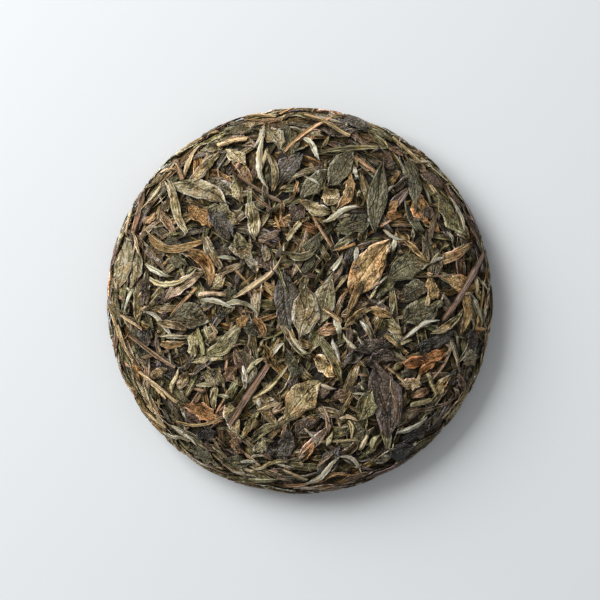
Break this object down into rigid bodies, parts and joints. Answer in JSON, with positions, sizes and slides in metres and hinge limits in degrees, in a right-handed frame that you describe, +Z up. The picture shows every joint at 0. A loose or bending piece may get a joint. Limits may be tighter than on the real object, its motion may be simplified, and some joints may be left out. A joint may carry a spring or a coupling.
{
  "type": "pressed white tea cake",
  "caption": "Round, gently domed cake of pressed white tea: withered leaves, silvery buds and stems, flat underneath with a hollow at its middle.",
  "frame": {"origin": "centre of the plane that the cake's underside rests on", "axes": "+Z up, out of the domed top, as it lies on a table; -Y is the edge nearest a viewer who sees the pictured top upright"},
  "size_m": [0.2, 0.1994, 0.0278],
  "materials": {
    "pressed_tea": "dry matt leaf, brown to olive green, with silvery buds and rust-brown leaf edges"
  },
  "bodies": {
    "root": {"tea_cake": "pressed_tea"}
  },
  "joints": []
}
